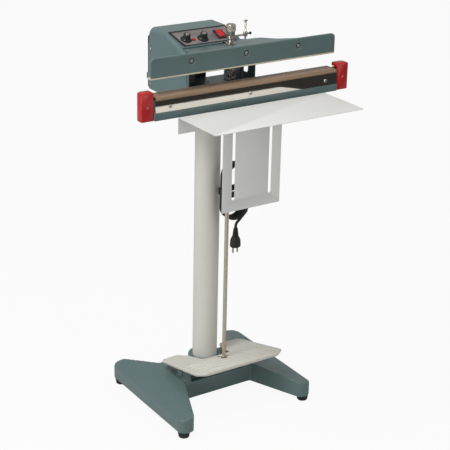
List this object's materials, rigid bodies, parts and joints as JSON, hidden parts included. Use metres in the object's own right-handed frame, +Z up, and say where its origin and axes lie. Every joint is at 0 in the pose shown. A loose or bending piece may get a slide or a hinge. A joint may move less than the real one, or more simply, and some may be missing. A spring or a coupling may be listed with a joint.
{
  "type": "impulse heat sealer",
  "caption": "Foot-operated impulse heat sealer on a pedestal: a swinging upper jaw, heated lower jaw, work table, pull rod, pedal and splayed cast base.",
  "frame": {"origin": "floor level, at the centre of the machine's plan without its mains lead", "axes": "+X to the operator's right along the jaws, +Y away from the operator, +Z up"},
  "size_m": [0.566, 0.485, 0.9817],
  "materials": {
    "hammertone_paint": "hammered satin paint",
    "grey_paint": "satin powder coat",
    "white_paint": "satin powder coat",
    "pedal_paint": "satin paint on casting",
    "nickel": "plated",
    "steel": "zinc plated",
    "black_rubber": "matte",
    "black_plastic": "fine texture",
    "red_plastic": "moulded",
    "red_lens": "gloss",
    "panel_plate": "printed plate",
    "dark_polished_steel": "polished",
    "release_cloth": "coated glass cloth",
    "silicone_rubber": "matte",
    "insulating_board": "pressed board",
    "copper": "drawn",
    "circuit_board": "laminate"
  },
  "bodies": {
    "root": {"base_casting": "hammertone_paint", "rubber_foot_front_left": "black_rubber", "rubber_foot_front_right": "black_rubber", "rubber_foot_rear_left": "black_rubber", "rubber_foot_rear_right": "black_rubber", "post_tube": "grey_paint", "post_flange": "hammertone_paint", "head_frame": "hammertone_paint", "control_cover": "hammertone_paint", "back_plate": "black_plastic", "panel_plate": "panel_plate", "indicator_lamp": "red_lens", "switch_bezel": "black_plastic", "transformer_core": "dark_polished_steel", "transformer_coil": "copper", "timer_board": "circuit_board", "trip_microswitch": "black_plastic", "lower_jaw": "hammertone_paint", "cloth_clamp_strip": "dark_polished_steel", "heater_bar": "insulating_board", "heating_element": "nickel", "release_cloth": "release_cloth", "end_cap_left": "red_plastic", "end_cap_right": "red_plastic", "element_terminal_left": "copper", "element_terminal_right": "copper", "arm_pivot_shaft": "steel", "shaft_collar_left": "steel", "shaft_collar_right": "steel", "return_spring": "steel", "pedal_shaft": "steel", "pedal_shaft_nut": "steel", "table_bracket": "hammertone_paint", "table_bolt_left": "steel", "table_bolt_right": "steel", "jaw_mount_bolt_left": "steel", "jaw_mount_bolt_right": "steel", "cord_strain_relief": "black_rubber", "mains_lead": "black_rubber", "mains_lead_tail": "black_rubber", "mains_lead_hank": "black_rubber", "mains_plug": "black_rubber"},
    "upper_arm": {"upper_jaw_arm": "hammertone_paint", "silicone_pad": "silicone_rubber"},
    "rod": {"pull_rod": "nickel", "rod_lock_nut_lower": "nickel", "rod_lock_nut_upper": "nickel", "spring_seat": "nickel", "spring_washer": "nickel", "pressure_spring": "steel", "trip_arm": "nickel", "trip_clamp_screw": "black_plastic"},
    "adjuster": {"pressure_adjuster": "nickel"},
    "trip": {"trip_screw": "nickel"},
    "foot_pedal": {"pedal": "pedal_paint", "rod_pin": "steel"},
    "table": {"work_table": "white_paint"},
    "seal_dial": {"seal_timer_knob": "black_plastic"},
    "cooling_dial": {"cooling_timer_knob": "black_plastic"},
    "rocker": {"power_rocker": "red_lens"}
  },
  "joints": [
    {"name": "arm_close", "type": "hinge", "parent": "root", "child": "upper_arm", "pos_m": [0, 0.1475, 0.89], "axis": [1, 0, 0], "range_deg": [0, 9.8], "stiffness_Nm_per_rad": 20, "springref_deg": -25.78, "deforming": ["return_spring"]},
    {"name": "rod_pull", "type": "slide", "parent": "root", "child": "rod", "axis": [0, 0, -1], "range_m": [0, 0.0265]},
    {"name": "pedal_press", "type": "hinge", "parent": "root", "child": "foot_pedal", "pos_m": [0, 0.0555, 0.082], "axis": [1, 0, 0], "range_deg": [0, 30.8]},
    {"name": "adjuster_turn", "type": "hinge", "parent": "rod", "child": "adjuster", "pos_m": [0, 0.0075, 0.9495], "axis": [0, 0, 1], "range_deg": [-180, 180]},
    {"name": "trip_set", "type": "slide", "parent": "rod", "child": "trip", "axis": [0, 0, 1], "range_m": [-0.003, 0.01]},
    {"name": "table_height", "type": "slide", "parent": "root", "child": "table", "axis": [0, 0, 1], "range_m": [0, 0.18]},
    {"name": "seal_dial_turn", "type": "hinge", "parent": "root", "child": "seal_dial", "pos_m": [-0.085, 0.06473, 0.93805], "axis": [0, -0.3846, 0.9231], "range_deg": [-135, 135]},
    {"name": "cooling_dial_turn", "type": "hinge", "parent": "root", "child": "cooling_dial", "pos_m": [-0.0415, 0.06104, 0.93651], "axis": [0, -0.3846, 0.9231], "range_deg": [-135, 135]},
    {"name": "rocker_switch", "type": "hinge", "parent": "root", "child": "rocker", "pos_m": [0.01, 0.06761, 0.93892], "axis": [1, 0, 0], "range_deg": [-13, 0]}
  ],
  "couplings": [
    {"joint": "rod_pull", "follows": "arm_close", "m_per_rad": 0.152},
    {"joint": "pedal_press", "follows": "arm_close", "ratio": 3.092}
  ]
}
